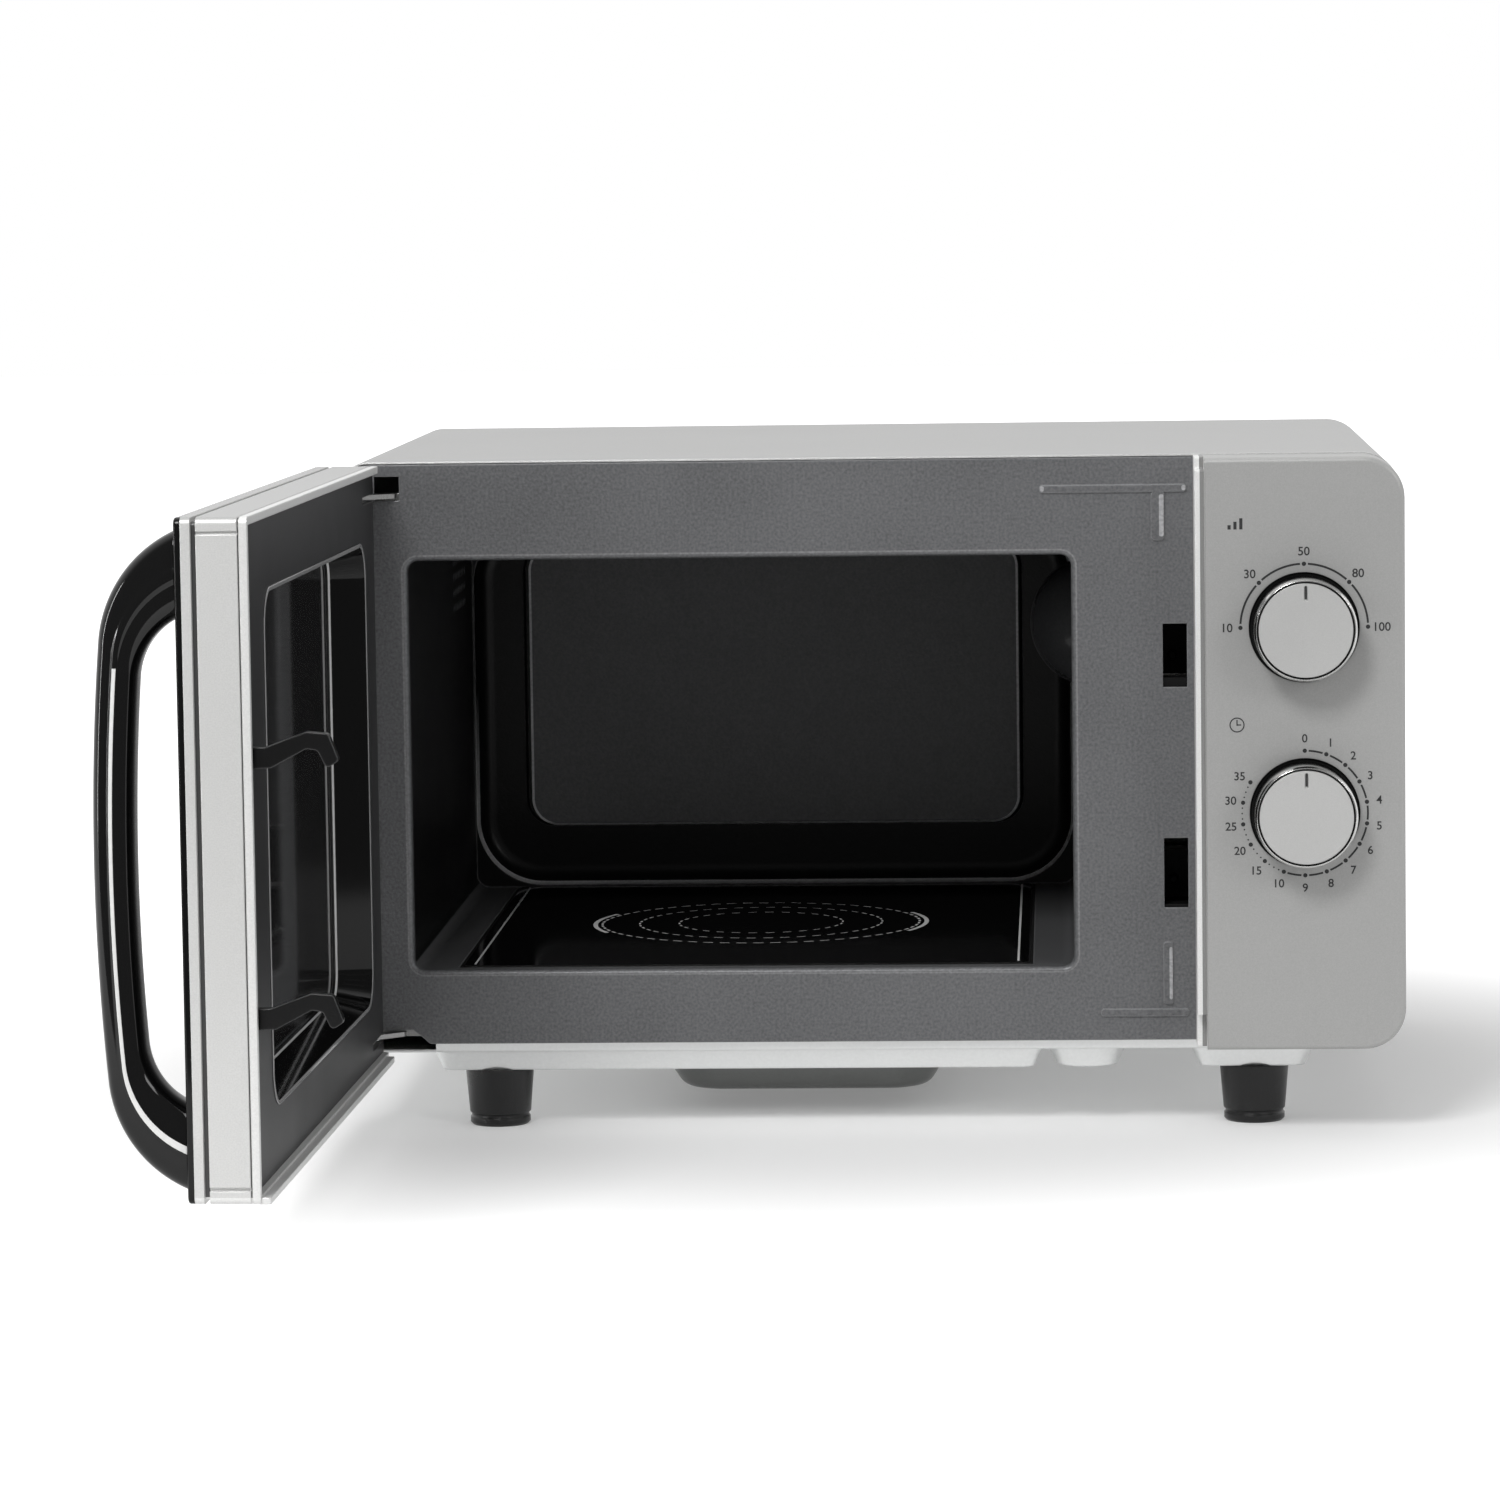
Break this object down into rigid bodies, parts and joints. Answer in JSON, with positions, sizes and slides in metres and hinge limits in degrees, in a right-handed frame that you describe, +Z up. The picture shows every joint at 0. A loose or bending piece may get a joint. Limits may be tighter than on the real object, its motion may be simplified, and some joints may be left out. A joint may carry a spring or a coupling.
{
  "type": "microwave oven",
  "caption": "Countertop microwave oven with a side-hinged door on a bow handle, a flat glass cooking floor, and rotary power and timer knobs.",
  "frame": {"origin": "on the table, in the middle of the four feet", "axes": "+X to the viewer's right, +Y to the back of the oven, +Z up"},
  "size_m": [0.4892, 0.6766, 0.281],
  "materials": {
    "silver_sheet": "satin silver stove paint",
    "back_sheet": "plain zinc-grey sheet",
    "pale_base": "pale grey paint",
    "plate_grey": "dark metallic grey paint",
    "cavity_enamel": "dark grey enamel",
    "silver_plastic": "silver moulded plastic",
    "black_gloss": "polished black",
    "charcoal_plastic": "satin charcoal",
    "latch_plastic": "black nylon",
    "floor_glass": "polished black glass-ceramic",
    "seal_rubber": "silicone bead",
    "lamp_plastic": "smoked translucent cover",
    "lamp_glass": "clear bulb",
    "bright_steel": "zinc-plated steel",
    "screw_steel": "plated screws",
    "rotor_aluminium": "bare aluminium",
    "white_plastic": "natural nylon",
    "core_steel": "varnished steel sheets",
    "copper_coils": "enamelled copper wire",
    "board_green": "circuit board",
    "knob_chrome": "chromed skirt",
    "knob_silver": "silver face disc",
    "foot_rubber": "black moulded rubber"
  },
  "bodies": {
    "oven_body": {"air_duct": "latch_plastic", "back_panel": "back_sheet", "back_screws": "screw_steel", "base_plate": "pale_base", "capacitor": "bright_steel", "capacitor_clamp": "bright_steel", "cavity_liner": "cavity_enamel", "ceramic_plate": "floor_glass", "control_fascia": "silver_plastic", "cord_gland": "latch_plastic", "door_switches": "latch_plastic", "fan_motor": "bright_steel", "fan_shroud": "latch_plastic", "filter_board": "board_green", "filter_box": "bright_steel", "filter_parts": "board_green", "foot_front_left": "foot_rubber", "foot_front_right": "foot_rubber", "foot_rear_left": "foot_rubber", "foot_rear_right": "foot_rubber", "foot_screws": "screw_steel", "front_plate": "plate_grey", "hinge_lower": "bright_steel", "hinge_upper": "bright_steel", "lamp_bulb": "lamp_glass", "lamp_cover": "lamp_plastic", "lamp_holder": "latch_plastic", "latch_board": "latch_plastic", "magnetron": "bright_steel", "outer_cover": "silver_sheet", "plate_seal": "seal_rubber", "stirrer_motor": "bright_steel", "stirrer_well": "bright_steel", "thermal_cutouts": "bright_steel", "timer_bell": "bright_steel", "timer_motor": "bright_steel", "timer_unit": "latch_plastic", "transformer_coils": "copper_coils", "transformer_core": "core_steel", "waveguide": "bright_steel"},
    "door": {"door_frame": "silver_plastic", "door_panel": "black_gloss", "choke_cover": "charcoal_plastic", "door_window": "black_gloss", "door_choke": "bright_steel", "handle": "black_gloss", "handle_screws": "screw_steel", "latch_spring": "bright_steel"},
    "latch": {"latch_hooks": "latch_plastic"},
    "power_dial": {"power_knob": "knob_chrome", "power_knob_cap": "knob_silver", "power_shaft": "white_plastic"},
    "timer_dial": {"timer_knob": "knob_chrome", "timer_knob_cap": "knob_silver", "timer_shaft": "white_plastic"},
    "fan": {"fan_rotor": "white_plastic"},
    "stirrer": {"stirrer_rotor": "rotor_aluminium", "stirrer_shaft": "white_plastic"},
    "upper_plunger": {"upper_switch_plunger": "white_plastic"},
    "lower_plunger": {"lower_switch_plunger": "white_plastic"}
  },
  "joints": [
    {"name": "door_swing", "type": "hinge", "parent": "oven_body", "child": "door", "pos_m": [-0.2145, -0.16, 0.15], "axis": [0, 0, -1], "range_deg": [-91.2, 8.8]},
    {"name": "latch_lift", "type": "slide", "parent": "door", "child": "latch", "axis": [0, 0, 1], "range_m": [0, 0.0045], "stiffness_N_per_m": 300, "springref_m": -0.003, "deforming": ["latch_spring"]},
    {"name": "power_turn", "type": "hinge", "parent": "oven_body", "child": "power_dial", "pos_m": [0.1788, -0.18, 0.2109], "axis": [0, 1, 0], "range_deg": [-90, 90]},
    {"name": "timer_turn", "type": "hinge", "parent": "oven_body", "child": "timer_dial", "pos_m": [0.1788, -0.18, 0.1345], "axis": [0, 1, 0], "range_deg": [0, 300]},
    {"name": "fan_spin", "type": "hinge", "parent": "oven_body", "child": "fan", "pos_m": [0.152, 0.15, 0.19], "axis": [0, 1, 0], "continuous": true},
    {"name": "stirrer_spin", "type": "hinge", "parent": "oven_body", "child": "stirrer", "pos_m": [-0.0542, 0.003, 0.05], "axis": [0, 0, 1], "continuous": true},
    {"name": "upper_switch_press", "type": "slide", "parent": "oven_body", "child": "upper_plunger", "axis": [0, 1, 0], "range_m": [0, 0.0015], "stiffness_N_per_m": 400, "springref_m": -0.001},
    {"name": "lower_switch_press", "type": "slide", "parent": "oven_body", "child": "lower_plunger", "axis": [0, 1, 0], "range_m": [0, 0.0015], "stiffness_N_per_m": 400, "springref_m": -0.001}
  ]
}
